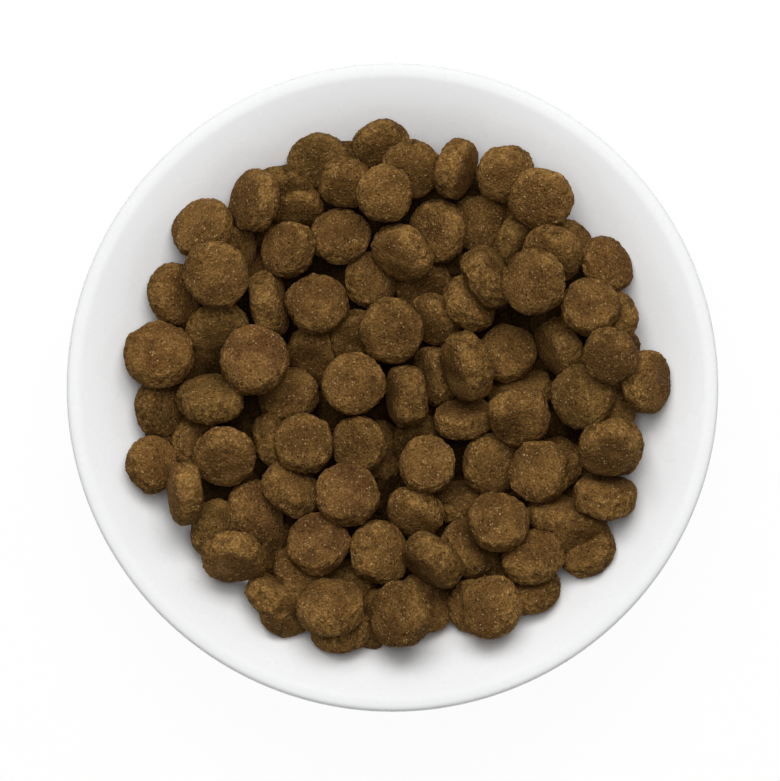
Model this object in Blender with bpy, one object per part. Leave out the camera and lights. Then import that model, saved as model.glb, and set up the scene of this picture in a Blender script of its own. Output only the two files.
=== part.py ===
"""A round glazed bowl filled with a heap of dry pet food.

The bowl is one turned piece with a foot ring. On it lies a bed of kibbles, pressed together as
one solid, and on the bed lie the kibbles that show whole, each one a loose piece. Every kibble is
lowered until it touches what lies under it, so the heap follows when a size changes.
Lengths are in metres, +Z is up, and the origin is on the table under the middle of the bowl.
"""

import math
import random
from collections import namedtuple

import bmesh
import bpy
import numpy as np
from mathutils import Matrix, Vector

# Bowl: its rim flares, so its inside is less steep there than lower down, and the two fullnesses
# say for what share of the way the curve keeps the direction of the floor and of the rim
BOWL_DIAMETER = 0.140
BOWL_HEIGHT = 0.038
BOWL_WALL = 0.0045
BOWL_FLOOR_DIAMETER = 0.050
RIM_SLOPE = math.radians(20)
FLOOR_FULLNESS = 0.45
RIM_FULLNESS = 0.55
FOOT_DIAMETER = 0.074
FOOT_WIDTH = 0.005
FOOT_HEIGHT = 0.0035
FOOT_EDGE = 0.001

# Kibbles: flat round pieces with full, rounded edges
KIBBLE_DIAMETER = 0.0140
KIBBLE_THICKNESS = 0.0073
KIBBLE_ROUNDNESS = 2.4
KIBBLE_UNEVENNESS = 0.022
KIBBLE_WEDGE = 0.065
THICKNESS_SPREAD = 0.08

# Heap: how far the bed's edge lies below the rim, how far its middle dips below that edge, and
# how deep the kibbles of the bed are pressed into it and into each other
FILL_DROP = 0.0044
BED_DIP = 0.0140
PRESSED_IN = 0.0022
CLEARANCE = 0.0003

# Settling: how far a kibble may slide to lie lower, and what share of its slide it must gain in
# depth
SLIDE = 0.0015
SLIDE_COST = 0.9

# Fineness of the meshes, and of the grid on which the kibbles are lowered
BOWL_STEPS = 48
INSIDE_STEPS = 7
LIP_STEPS = 2
BED_STEPS = 20
TOP_STEPS = 2
LOOSE_SIDES = 12
BED_SIDES = 8
KIBBLE_RINGS = 5
GRID = 0.0002
NEARLY_LEVEL = 1e-4
BELOW_ALL = -1.0
STEEPEST_LEAN = math.radians(78)
SMOOTH_ANGLE = math.radians(50)
SEED = 4

# The heap's plan, read by eye from a photograph taken from above, in its pixels: the middle of
# the heap, how far from it the outermost kibble's middle lies, and the width of a usual kibble
PLAN_MIDDLE_X = 392.5
PLAN_MIDDLE_Y = 384.3
PLAN_REACH = 243.0
PLAN_KIBBLE = 65.0

# One kibble in the plan: its middle, its widest and narrowest width, and the turn of its widest
# width in degrees. A kibble that looks narrow leans, and one that looks round lies flat.
Seen = namedtuple("Seen", "x y wide narrow turn")

# The kibbles of the bed, which are partly hidden, from the lowest up
BED_PLAN = [
    Seen(193, 438, 58, 40, 75),
    Seen(271, 434, 60, 40, -75),
    Seen(283, 394, 60, 54, 15),
    Seen(316, 344, 66, 46, -15),
    Seen(214, 324, 64, 43, 15),
    Seen(379, 444, 60, 42, 95),
    Seen(425, 276, 60, 50, 10),
    Seen(412, 436, 58, 46, 20),
    Seen(348, 332, 56, 50, 40),
    Seen(521, 386, 66, 46, 20),
    Seen(484, 214, 60, 58, 0),
    Seen(518, 234, 60, 36, 60),
    Seen(566, 242, 60, 50, 30),
    Seen(614, 345, 56, 36, 40),
    Seen(616, 324, 60, 46, 85),
    Seen(611, 270, 60, 46, -60),
    Seen(613, 414, 60, 48, 90),
    Seen(618, 446, 58, 50, 90),
    Seen(462, 499, 56, 42, 8),
    Seen(471, 545, 64, 48, -50),
    Seen(557, 462, 60, 50, 30),
    Seen(588, 548, 60, 52, 60),
    Seen(562, 519, 60, 38, -3),
    Seen(533, 590, 58, 46, 25),
    Seen(474, 606, 54, 54, 0),
    Seen(423, 603, 62, 52, -75),
    Seen(345, 583, 58, 50, 30),
    Seen(341, 632, 60, 44, 5),
    Seen(272, 602, 62, 36, -38),
    Seen(298, 573, 58, 54, 0),
    Seen(211, 530, 60, 42, 80),
    Seen(248, 511, 64, 52, 95),
    Seen(156, 406, 60, 46, 95),
    Seen(172, 290, 62, 48, 90),
    Seen(227, 245, 60, 44, 60),
    Seen(200, 224, 64, 52, 45),
    Seen(296, 197, 56, 38, 0),
    Seen(318, 154, 61, 54, 20),
    Seen(379, 138, 58, 43, 15),
]

# The kibbles that show whole, from the lowest up
LOOSE_PLAN = [
    Seen(345, 176, 56, 46, 10),
    Seen(408, 159, 63, 55, -20),
    Seen(370, 271, 62, 50, 95),
    Seen(267.5, 298, 69, 38, 100),
    Seen(561, 254, 64, 47, -20),
    Seen(561.5, 344, 66, 38, -60),
    Seen(648, 382, 66, 46, 85),
    Seen(435, 369, 62, 40, -75),
    Seen(458, 418.5, 61, 42, 7),
    Seen(358.5, 442.5, 60, 51, -70),
    Seen(374.5, 556, 67, 55, 90),
    Seen(415, 516, 62, 43, -12),
    Seen(534.5, 561.5, 66, 51, 22),
    Seen(487, 459.5, 66, 55, 65),
    Seen(542.5, 475.5, 65, 61, 90),
    Seen(451, 164, 64, 38, 70),
    Seen(499.5, 169, 62, 50, 10),
    Seen(436, 312, 58, 41, -50),
    Seen(464, 302, 60, 44, -60),
    Seen(484, 279, 66, 40, -60),
    Seen(253.5, 196, 65, 46, 87),
    Seen(531, 285, 69, 58, -75),
    Seen(157.5, 353.5, 73, 65, 5),
    Seen(202.5, 395.5, 71, 50, 0),
    Seen(153, 461, 60, 51, -70),
    Seen(186.5, 499.5, 65, 36, -85),
    Seen(234, 562.5, 66, 43, -2),
    Seen(285, 492, 64, 46, -40),
    Seen(432.5, 563.5, 68, 36, -37),
    Seen(607, 497, 66, 45, -8),
    Seen(590, 306.5, 62, 59, 0),
    Seen(337, 225, 62, 58, -10),
    Seen(440, 227, 66, 54, -65),
    Seen(391, 328.5, 69, 65, 0),
    Seen(218, 460, 67, 52, -8),
    Seen(300.5, 447.5, 63, 61, 0),
    Seen(408.5, 394.5, 67, 38, -84),
    Seen(512, 346, 63, 62, 0),
    Seen(588, 399, 67, 62, -60),
    Seen(608.5, 452, 63, 48, -5),
    Seen(316, 541.5, 66, 62, 0),
    Seen(400, 617.5, 69, 59, -80),
    Seen(332.5, 615.5, 71, 55, 8),
    Seen(492.5, 609, 64, 60, 90),
    Seen(213, 269, 69, 67, 0),
    Seen(289, 246, 60, 53, 85),
    Seen(384.5, 191.5, 59, 57, 0),
    Seen(400, 248.5, 66, 46, -38),
    Seen(318.5, 303.5, 66, 65, 0),
    Seen(543, 198, 68, 56, -20),
    Seen(253.5, 359, 73, 69, 0),
    Seen(358, 379.5, 66, 65, 0),
    Seen(467.5, 366, 73, 44, -70),
    Seen(347.5, 495, 67, 64, 0),
    Seen(427, 470.5, 60, 58, 0),
    Seen(611, 360, 60, 52, -20),
    Seen(525.5, 418, 68, 50, 8),
    Seen(502.5, 529, 65, 63, 0),
]

# Colours as linear red, green and blue, with roughness
GLAZE_COLOUR = (0.86, 0.86, 0.85)
GLAZE_ROUGHNESS = 0.12
KIBBLE_COLOURS = [(0.135, 0.072, 0.026), (0.160, 0.088, 0.034), (0.118, 0.060, 0.022)]
KIBBLE_ROUGHNESS = 0.85


def clear_scene():
    for thing in list(bpy.data.objects):
        bpy.data.objects.remove(thing)


def make_material(name, colour, roughness):
    material = bpy.data.materials.new(name)
    material.use_nodes = True
    shader = material.node_tree.nodes["Principled BSDF"]
    shader.inputs["Base Color"].default_value = (*colour, 1)
    shader.inputs["Roughness"].default_value = roughness
    shader.inputs["Metallic"].default_value = 0
    material.diffuse_color = (*colour, 1)
    return material


def make_object(name, mesh, material):
    thing = bpy.data.objects.new(name, mesh)
    bpy.context.scene.collection.objects.link(thing)
    mesh.materials.append(material)
    mesh.shade_smooth()
    mesh.set_sharp_from_angle(angle=SMOOTH_ANGLE)
    return thing


# Bowl: the curve of its inside, which the bed and the kibbles follow


def lip_point(turn):
    """Radius and height on the rounding of the lip, at an angle from straight outwards."""
    rounding = BOWL_WALL / 2
    radius = BOWL_DIAMETER / 2 - rounding + rounding * math.cos(turn)
    return radius, BOWL_HEIGHT - rounding + rounding * math.sin(turn)


def inside_curve():
    """Radii and heights of the bowl's inside, from the middle of its floor up to the lip."""
    start = np.array([BOWL_FLOOR_DIAMETER / 2, FOOT_HEIGHT + BOWL_WALL])
    end = np.array(lip_point(math.pi / 2 + RIM_SLOPE))
    reach = end[0] - start[0]
    along_floor = start + FLOOR_FULLNESS * reach * np.array([1, 0])
    along_rim = end - RIM_FULLNESS * reach * np.array([math.cos(RIM_SLOPE), math.sin(RIM_SLOPE)])
    up = np.linspace(0, 1, INSIDE_STEPS + 1)[:, None]
    down = 1 - up
    lower = down**3 * start + 3 * down**2 * up * along_floor
    curve = lower + 3 * down * up**2 * along_rim + up**3 * end
    radii, heights = curve.T
    return np.append(0, radii), np.append(start[1], heights)


def offset_curve(radii, heights, distance):
    """The same curve moved along its normals, towards the bowl's axis where distance is positive."""
    run = np.gradient(radii)
    rise = np.gradient(heights)
    run[0], rise[0] = 1, 0
    length = np.hypot(run, rise)
    return radii - distance * rise / length, heights + distance * run / length


def fill_radius():
    """Radius of the bowl's inside where the heap's edge lies."""
    radii, heights = inside_curve()
    return float(np.interp(BOWL_HEIGHT - FILL_DROP, heights, radii))


def turn_profile(bm, points, steps):
    """Turns a list of (radius, height) points once round the Z axis."""
    rail = [bm.verts.new((radius, 0, height)) for radius, height in points]
    edges = [bm.edges.new(pair) for pair in zip(rail, rail[1:])]
    bmesh.ops.spin(
        bm,
        geom=rail + edges,
        cent=(0, 0, 0),
        axis=(0, 0, 1),
        angle=2 * math.pi,
        steps=steps,
        use_merge=True,
    )
    bmesh.ops.remove_doubles(bm, verts=bm.verts, dist=GRID / 10)
    bmesh.ops.recalc_face_normals(bm, faces=bm.faces)


def bowl_profile():
    """Down the middle, out over the foot, up the outside, round the lip and down the inside."""
    radii, heights = inside_curve()
    outer_radii, outer_heights = offset_curve(radii, heights, -BOWL_WALL)
    foot = FOOT_DIAMETER / 2
    foot_inside = foot - FOOT_WIDTH
    foot_top = float(np.interp(foot, outer_radii, outer_heights))
    points = [(0, FOOT_HEIGHT), (foot_inside, FOOT_HEIGHT), (foot_inside + FOOT_EDGE, 0)]
    points += [(foot - FOOT_EDGE, 0), (foot, FOOT_EDGE), (foot, foot_top)]
    beside_foot = foot + FOOT_WIDTH / 2
    for radius, height in list(zip(outer_radii, outer_heights))[:-1]:
        if radius > beside_foot:
            points.append((radius, height))
    quarter = math.pi / 2
    below = np.linspace(RIM_SLOPE - quarter, 0, LIP_STEPS, endpoint=False)
    above = np.linspace(0, quarter, LIP_STEPS + 1)
    points += [lip_point(turn) for turn in (*below, *above)]
    return points + list(zip(radii[::-1], heights[::-1]))


def make_bowl(glaze):
    bm = bmesh.new()
    turn_profile(bm, bowl_profile(), BOWL_STEPS)
    mesh = bpy.data.meshes.new("bowl")
    bm.to_mesh(mesh)
    bm.free()
    return make_object("bowl", mesh, glaze)


# Kibbles


def kibble_mesh(name, diameter, sides, dice):
    """One convex kibble, its flat faces up and down, with a slightly uneven outline."""
    bm = bmesh.new()
    bmesh.ops.create_uvsphere(bm, u_segments=sides, v_segments=KIBBLE_RINGS, radius=1)
    power = 2 / KIBBLE_ROUNDNESS
    waves = [(count, dice.uniform(0, 2 * math.pi)) for count in (2, 3)]
    thick = KIBBLE_THICKNESS / 2 * diameter / KIBBLE_DIAMETER
    thick *= 1 + dice.uniform(-THICKNESS_SPREAD, THICKNESS_SPREAD)
    slope = dice.uniform(-KIBBLE_WEDGE, KIBBLE_WEDGE)
    for vert in bm.verts:
        out = min(1, math.hypot(vert.co.x, vert.co.y))
        turn = math.atan2(vert.co.y, vert.co.x)
        uneven = 1 + KIBBLE_UNEVENNESS * sum(math.cos(n * turn + start) for n, start in waves)
        radius = diameter / 2 * out**power * uneven
        height = math.copysign(abs(vert.co.z) ** power, vert.co.z) * thick
        height *= 1 + slope * out * math.cos(turn)
        vert.co = (radius * math.cos(turn), radius * math.sin(turn), height)
    hull = bmesh.ops.convex_hull(bm, input=bm.verts, use_existing_faces=False)
    spare = [part for part in hull["geom_interior"] if isinstance(part, bmesh.types.BMVert)]
    bmesh.ops.delete(bm, geom=spare, context="VERTS")
    old = [face for face in bm.faces if len(face.verts) > 3]
    bmesh.ops.delete(bm, geom=old, context="FACES_ONLY")
    bmesh.ops.remove_doubles(bm, verts=bm.verts, dist=GRID / 10)
    bmesh.ops.recalc_face_normals(bm, faces=bm.faces)
    mesh = bpy.data.meshes.new(name)
    bm.to_mesh(mesh)
    bm.free()
    return mesh


def lean_of(seen):
    """How far a kibble leans, from how narrow it looks from above."""
    flat = KIBBLE_THICKNESS / KIBBLE_DIAMETER
    upright = ((seen.narrow / seen.wide) ** 2 - flat**2) / (1 - flat**2)
    return min(STEEPEST_LEAN, math.acos(math.sqrt(min(1, max(0, upright)))))


def plan_place(seen):
    """A kibble's middle in the bowl, from its place in the plan."""
    scale = (fill_radius() - KIBBLE_DIAMETER / 2) / PLAN_REACH
    return (seen.x - PLAN_MIDDLE_X) * scale, (PLAN_MIDDLE_Y - seen.y) * scale


def poses_of(seen, spin):
    """The ways to lean that look alike from above, as turning matrices."""
    turn = Matrix.Rotation(math.radians(seen.turn), 3, "Z")
    spun = Matrix.Rotation(spin, 3, "Z")
    leans = [way * lean_of(seen) for way in (1, -1)]
    return [turn @ Matrix.Rotation(lean, 3, "X") @ spun for lean in leans]


# The heap's top as heights on a square grid, and a kibble lowered on to it


class Heap:
    """Heights of the bowl and of the pile in it, on one grid of points."""

    def __init__(self):
        self.middle = math.ceil((BOWL_DIAMETER / 2 + KIBBLE_DIAMETER) / GRID)
        axis = np.arange(-self.middle, self.middle + 1) * GRID
        x, y = np.meshgrid(axis, axis, indexing="ij")
        self.radius = np.hypot(x, y)
        radii, heights = inside_curve()
        facet = 1 / math.cos(math.pi / BOWL_STEPS)
        self.bowl = np.interp(self.radius * facet, radii, heights, right=BOWL_HEIGHT)
        self.pile = np.full_like(self.bowl, BELOW_ALL)

    def patch(self, cell, reach):
        """The grid's rows and columns round a cell."""
        return tuple(slice(self.middle + at - reach, self.middle + at + reach + 1) for at in cell)


def flat_sides(mesh, turn):
    """Normals and distances of a convex mesh's faces, after the turn."""
    normals = np.array([turn @ face.normal for face in mesh.polygons])
    places = np.array([turn @ face.center for face in mesh.polygons])
    return normals, np.einsum("ij,ij->i", normals, places)


def under_and_over(sides, reach, grow):
    """Lowest and highest point of a convex piece over each grid point, and where it has any."""
    axis = np.arange(-reach, reach + 1) * GRID
    px, py = np.meshgrid(axis, axis, indexing="ij")
    normals, distances = sides
    low = np.full(px.shape, BELOW_ALL)
    high = np.full(px.shape, -BELOW_ALL)
    for (nx, ny, nz), distance in zip(normals, distances):
        rest = distance + grow - nx * px - ny * py
        if nz < -NEARLY_LEVEL:
            low = np.maximum(low, rest / nz)
        elif nz > NEARLY_LEVEL:
            high = np.minimum(high, rest / nz)
        else:
            high = np.where(rest < 0, low - 1, high)
    return low, high, low <= high


def slides():
    """Steps on the grid that a kibble may slide, with what each adds to its height's score."""
    steps = math.floor(SLIDE / GRID)
    found = []
    for across in range(-steps, steps + 1):
        for along in range(-steps, steps + 1):
            far = math.hypot(across, along)
            if far <= steps:
                found.append((across, along, far * GRID * SLIDE_COST))
    return found


def settle(heap, sides, cell, reach, pressed):
    """The lowest rest of a piece near a cell: its score, height and cell."""
    clear_low, _, clear_there = under_and_over(sides, reach, CLEARANCE)
    low, _, there = under_and_over(sides, reach, 0) if pressed else (clear_low, None, clear_there)
    sunk = PRESSED_IN if pressed else 0
    rests = []
    for across, along, cost in slides():
        place = (cell[0] + across, cell[1] + along)
        patch = heap.patch(place, reach)
        on_bowl = np.max((heap.bowl[patch] - clear_low)[clear_there])
        on_pile = np.max((heap.pile[patch] - low)[there]) - sunk
        height = float(max(on_bowl, on_pile))
        rests.append((height + cost, height, place))
    return min(rests)


def lay_kibble(heap, name, seen, sides, material, dice, pressed):
    """Makes one kibble and lowers it, leaning and sliding the way that lets it lie lower."""
    diameter = KIBBLE_DIAMETER * seen.wide / PLAN_KIBBLE
    mesh = kibble_mesh(name, diameter, sides, dice)
    cell = [round(place / GRID) for place in plan_place(seen)]
    reach = math.ceil((diameter * (0.5 + KIBBLE_UNEVENNESS * 2) + CLEARANCE) / GRID)
    rests = []
    for turn in poses_of(seen, dice.uniform(0, 2 * math.pi)):
        rest = settle(heap, flat_sides(mesh, turn), cell, reach, pressed)
        rests.append((rest, len(rests), turn))
    (_, height, cell), _, turn = min(rests, key=lambda found: found[:2])
    _, high, there = under_and_over(flat_sides(mesh, turn), reach, 0)
    patch = heap.patch(cell, reach)
    heap.pile[patch] = np.maximum(heap.pile[patch], np.where(there, high + height, BELOW_ALL))
    kibble = make_object(name, mesh, material)
    kibble.rotation_euler = turn.to_euler()
    kibble.location = Vector((cell[0] * GRID, cell[1] * GRID, height))
    return kibble


# Bed


def bed_side():
    """Radii and heights up the bowl's inside, a clearance away from it, to the bed's edge."""
    radii, heights = inside_curve()
    edge = fill_radius()
    inside = radii < edge - BOWL_WALL / 2
    radii = np.append(radii[inside], edge)
    heights = np.append(heights[inside], BOWL_HEIGHT - FILL_DROP)
    radii, heights = offset_curve(radii, heights, CLEARANCE)
    radii[0] = 0
    return radii, heights


def bed_top():
    """Radii and heights of the bed's dished top, from its middle to its edge."""
    sides, heights = bed_side()
    shares = np.linspace(0, 1, TOP_STEPS + 1)
    return sides[-1] * shares, heights[-1] - BED_DIP * (1 - shares**2)


def make_bed(heap, material, dice):
    """A dished bed with the partly hidden kibbles joined on to it."""
    bm = bmesh.new()
    radii, heights = bed_top()
    profile = list(zip(*bed_side())) + list(zip(radii, heights))[-2::-1]
    turn_profile(bm, profile, BED_STEPS)
    mesh = bpy.data.meshes.new("kibble_bed")
    bm.to_mesh(mesh)
    bm.free()
    bed = make_object("kibble_bed", mesh, material)
    facet = 1 / math.cos(math.pi / BED_STEPS)
    top = np.interp(heap.radius * facet, radii, heights)
    heap.pile = np.where(heap.radius <= radii[-1], top, heap.pile)
    for number, seen in enumerate(BED_PLAN, 1):
        name = f"bed_kibble_{number:02d}"
        lump = lay_kibble(heap, name, seen, BED_SIDES, material, dice, pressed=True)
        lump.hide_render = True
        lump.display_type = "WIRE"
        joined = bed.modifiers.new(name, "BOOLEAN")
        joined.operation = "UNION"
        joined.solver = "EXACT"
        joined.object = lump
    return bed


def main():
    clear_scene()
    dice = random.Random(SEED)
    heap = Heap()
    glaze = make_material("white glaze", GLAZE_COLOUR, GLAZE_ROUGHNESS)
    browns = []
    for number, colour in enumerate(KIBBLE_COLOURS, 1):
        browns.append(make_material(f"kibble brown {number}", colour, KIBBLE_ROUGHNESS))
    make_bowl(glaze)
    make_bed(heap, browns[2], dice)
    for number, seen in enumerate(LOOSE_PLAN, 1):
        name = f"kibble_{number:02d}"
        lay_kibble(heap, name, seen, LOOSE_SIDES, dice.choice(browns), dice, pressed=False)


main()
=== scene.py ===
"""A round white glazed bowl filled with dry pet food, finished for its picture.

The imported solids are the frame. The bowl is turned again with fine steps, each loose kibble is
modelled again where its solid lies, and the solid bed is replaced by single kibbles that are
found in its top, with deeper ones in the gaps between them.
"""

import math
import random
from collections import namedtuple

import bmesh
import bpy
import numpy as np
from bpy.props import FloatProperty, FloatVectorProperty, IntProperty, PointerProperty
from mathutils import Matrix, Vector, noise
from mathutils.bvhtree import BVHTree


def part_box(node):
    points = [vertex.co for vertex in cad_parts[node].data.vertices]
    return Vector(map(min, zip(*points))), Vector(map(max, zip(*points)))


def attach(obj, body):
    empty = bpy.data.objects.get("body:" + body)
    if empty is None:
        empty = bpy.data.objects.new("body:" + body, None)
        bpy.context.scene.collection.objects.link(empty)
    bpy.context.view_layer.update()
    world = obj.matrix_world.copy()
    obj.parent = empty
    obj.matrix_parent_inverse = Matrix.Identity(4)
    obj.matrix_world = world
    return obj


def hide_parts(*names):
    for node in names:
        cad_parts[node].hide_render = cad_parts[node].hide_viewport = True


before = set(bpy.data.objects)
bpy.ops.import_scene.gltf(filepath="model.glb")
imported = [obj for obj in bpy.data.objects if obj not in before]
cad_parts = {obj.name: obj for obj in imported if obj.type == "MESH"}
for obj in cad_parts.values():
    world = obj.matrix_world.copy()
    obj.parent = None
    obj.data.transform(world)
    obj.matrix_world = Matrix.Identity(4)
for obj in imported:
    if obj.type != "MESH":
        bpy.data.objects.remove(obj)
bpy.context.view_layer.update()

bl_info = {
    "name": "Bowl of dry pet food",
    "version": (1, 0, 0),
    "blender": (4, 5, 0),
    "location": "View3D > Sidebar > Pet food",
    "description": "Turns a glazed bowl and fills it with baked kibbles",
    "category": "Add Mesh",
}

# The photograph's frame in pixels: its size, the rim's middle and radius in it, and the row on
# which the middle of the heap, which rises over the rim, is seen
PICTURE_WIDTH = 780
PICTURE_HEIGHT = 781
RIM_X = 392.5
RIM_Y = 386.3
RIM_REACH = 325.7
HEAP_Y = 384.3

# One kibble in the photograph, in its pixels: its middle, its widest and narrowest width, the
# turn of its widest width in degrees, how it is baked, and how much paler it is painted, darker
# where less than nought: painted light and shade that its lean and depth in the heap don't give it
Seen = namedtuple("Seen", "x y wide narrow turn bake pale", defaults=["usual", 0.0])

# The partly hidden kibbles, which the solid bed carries
BED_PLAN = [
    Seen(193, 438, 58, 40, 75),
    Seen(271, 434, 60, 40, -75),
    Seen(283, 394, 60, 54, 15, "usual", 0.15),
    Seen(316, 344, 66, 46, -15, "usual", 0.20),
    Seen(214, 324, 64, 43, 15, "olive", 0.45),
    Seen(379, 444, 60, 42, 95),
    Seen(425, 276, 60, 50, 10),
    Seen(412, 436, 58, 46, 20, "usual", -0.30),
    Seen(348, 332, 56, 50, 40, "usual", -0.32),
    Seen(521, 386, 66, 46, 20),
    Seen(484, 214, 60, 58, 0),
    Seen(518, 234, 60, 36, 60, "olive"),
    Seen(566, 242, 60, 50, 30),
    Seen(614, 345, 56, 36, 40),
    Seen(616, 324, 60, 46, 85),
    Seen(611, 270, 60, 46, -60, "orange"),
    Seen(613, 414, 60, 48, 90),
    Seen(618, 446, 58, 50, 90),
    Seen(462, 499, 56, 42, 8),
    Seen(471, 545, 64, 48, -50),
    Seen(557, 462, 60, 50, 30),
    Seen(588, 548, 60, 52, 60),
    Seen(562, 519, 60, 38, -3),
    Seen(533, 590, 58, 46, 25),
    Seen(474, 606, 54, 54, 0),
    Seen(423, 603, 62, 52, -75),
    Seen(345, 583, 58, 50, 30, "usual", -0.30),
    Seen(341, 632, 60, 44, 5),
    Seen(272, 602, 62, 36, -38),
    Seen(298, 573, 58, 54, 0),
    Seen(211, 530, 60, 42, 80, "olive"),
    Seen(248, 511, 64, 52, 95, "red"),
    Seen(156, 406, 60, 46, 95, "usual", -0.30),
    Seen(172, 290, 62, 48, 90, "orange"),
    Seen(227, 245, 60, 44, 60),
    Seen(200, 224, 64, 52, 45),
    Seen(296, 197, 56, 38, 0),
    Seen(318, 154, 61, 54, 20, "olive"),
    Seen(379, 138, 58, 43, 15),
]

# The kibbles that show dimly in the gaps, deeper than the solid bed's top
DEEP_PLAN = [
    Seen(256, 258, 60, 46, 40, "red"),
    Seen(283, 186, 60, 46, 10),
    Seen(422, 198, 60, 44, 70),
    Seen(368, 230, 60, 50, 20),
    Seen(335, 268, 60, 46, 60, "olive"),
    Seen(508, 208, 60, 46, 80),
    Seen(236, 436, 60, 48, 30),
    Seen(205, 361, 60, 44, 15),
    Seen(487, 320, 60, 50, 50),
    Seen(440, 443, 60, 44, 75),
    Seen(326, 402, 60, 46, 80),
    Seen(515, 460, 60, 50, 20),
    Seen(275, 547, 60, 48, 60),
    Seen(290, 608, 60, 46, 30),
    Seen(390, 487, 60, 46, 85),
    Seen(372, 615, 60, 44, 80),
    Seen(580, 345, 60, 46, 75),
    Seen(500, 566, 60, 46, 40),
    Seen(580, 535, 60, 46, 10),
]

# Loose kibbles whose bake isn't the usual one, how much paler some are painted, darker where less
# than nought, as painted light and shade that their lean doesn't give them, and those that are
# dented, by number
LOOSE_BAKES = {16: "orange", 23: "orange", 25: "orange", 24: "olive", 39: "olive"}
LOOSE_BAKES.update({41: "red", 51: "red", 54: "red"})
LOOSE_PAINTED_SHADING = {2: -0.22, 12: 0.14, 17: 0.20, 20: -0.12, 27: 0.12, 35: 0.18, 50: 0.24, 53: -0.10}
DENTED = {57}

BAKES = ("usual", "orange", "olive", "red")
SEED = 11

# A kibble's lumps, crumbs and grit: how many of each to the metre, roughly
LUMP_SCALE = 230
CRUMB_SCALE = 720
GRIT_SCALE = 2100

# Share of a kibble's radius at which its crumbly edge starts, whose golden colour is partly painted
# light, how many times deeper the lumps of a dented one are, and how much paler or darker one may
# be by chance
EDGE_START = 0.62
DENT_DEPTH = 2.6
CHANCE_SHADE = 0.08

# Share of the deepest kibbles' painted shade that the bed's partly hidden ones have
BED_PAINTED_SHADE = 1 / 3

# Least share of its face, squared, that a leaning kibble shows
LEAST_FACE = 0.04

# Points closer than this are one
MERGE_DISTANCE = 1e-6


# Settings


class BowlSettings(bpy.types.PropertyGroup):
    """Sizes and finish of the bowl."""

    wall: FloatProperty(
        name="Wall",
        description="Thickness of the wall and of the lip",
        default=0.0045,
        unit="LENGTH",
    )
    floor_diameter: FloatProperty(
        name="Floor diameter",
        description="Width of the flat floor inside",
        default=0.050,
        unit="LENGTH",
    )
    rim_slope: FloatProperty(
        name="Rim slope",
        description="How steep the inside is at the flared rim",
        default=math.radians(20),
        unit="ROTATION",
    )
    floor_fullness: FloatProperty(
        name="Floor fullness",
        description="Share of the way for which the curve keeps the floor's direction",
        default=0.45,
    )
    rim_fullness: FloatProperty(
        name="Rim fullness",
        description="Share of the way for which the curve keeps the rim's direction",
        default=0.55,
    )
    foot_diameter: FloatProperty(
        name="Foot diameter",
        description="Width of the foot ring",
        default=0.074,
        unit="LENGTH",
    )
    foot_width: FloatProperty(
        name="Foot width",
        description="Width of the ring itself",
        default=0.005,
        unit="LENGTH",
    )
    foot_height: FloatProperty(
        name="Foot height",
        description="Depth of the hollow inside the ring",
        default=0.0035,
        unit="LENGTH",
    )
    foot_edge: FloatProperty(
        name="Foot edge",
        description="Radius of the ring's lower edges",
        default=0.001,
        unit="LENGTH",
    )
    steps: IntProperty(
        name="Steps",
        description="Faces round the bowl",
        default=192,
    )
    curve_steps: IntProperty(
        name="Curve steps",
        description="Faces up the inside of the bowl",
        default=36,
    )
    lip_flatness: FloatProperty(
        name="Lip flatness",
        description="Power of the lip's rounding: 1 is round, less is flatter with a tighter edge",
        default=0.46,
    )
    lip_crease: FloatProperty(
        name="Lip crease",
        description="Share of the inside next to the lip over which it turns into the lip",
        default=0.006,
    )
    lip_steps: IntProperty(
        name="Lip steps",
        description="Faces over each quarter of the lip",
        default=12,
    )
    glaze: FloatVectorProperty(
        name="Glaze",
        description="Colour of the white glaze",
        default=(0.86, 0.865, 0.87),
        subtype="COLOR",
    )
    gloss: FloatProperty(
        name="Glaze roughness",
        description="Roughness of the glaze",
        default=0.24,
        subtype="FACTOR",
    )
    biscuit: FloatVectorProperty(
        name="Bare clay",
        description="Colour of the unglazed clay under the foot ring",
        default=(0.60, 0.54, 0.45),
        subtype="COLOR",
    )
    bare_height: FloatProperty(
        name="Bare height",
        description="Height up to which the foot ring is wiped free of glaze",
        default=0.0007,
        unit="LENGTH",
    )


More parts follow.
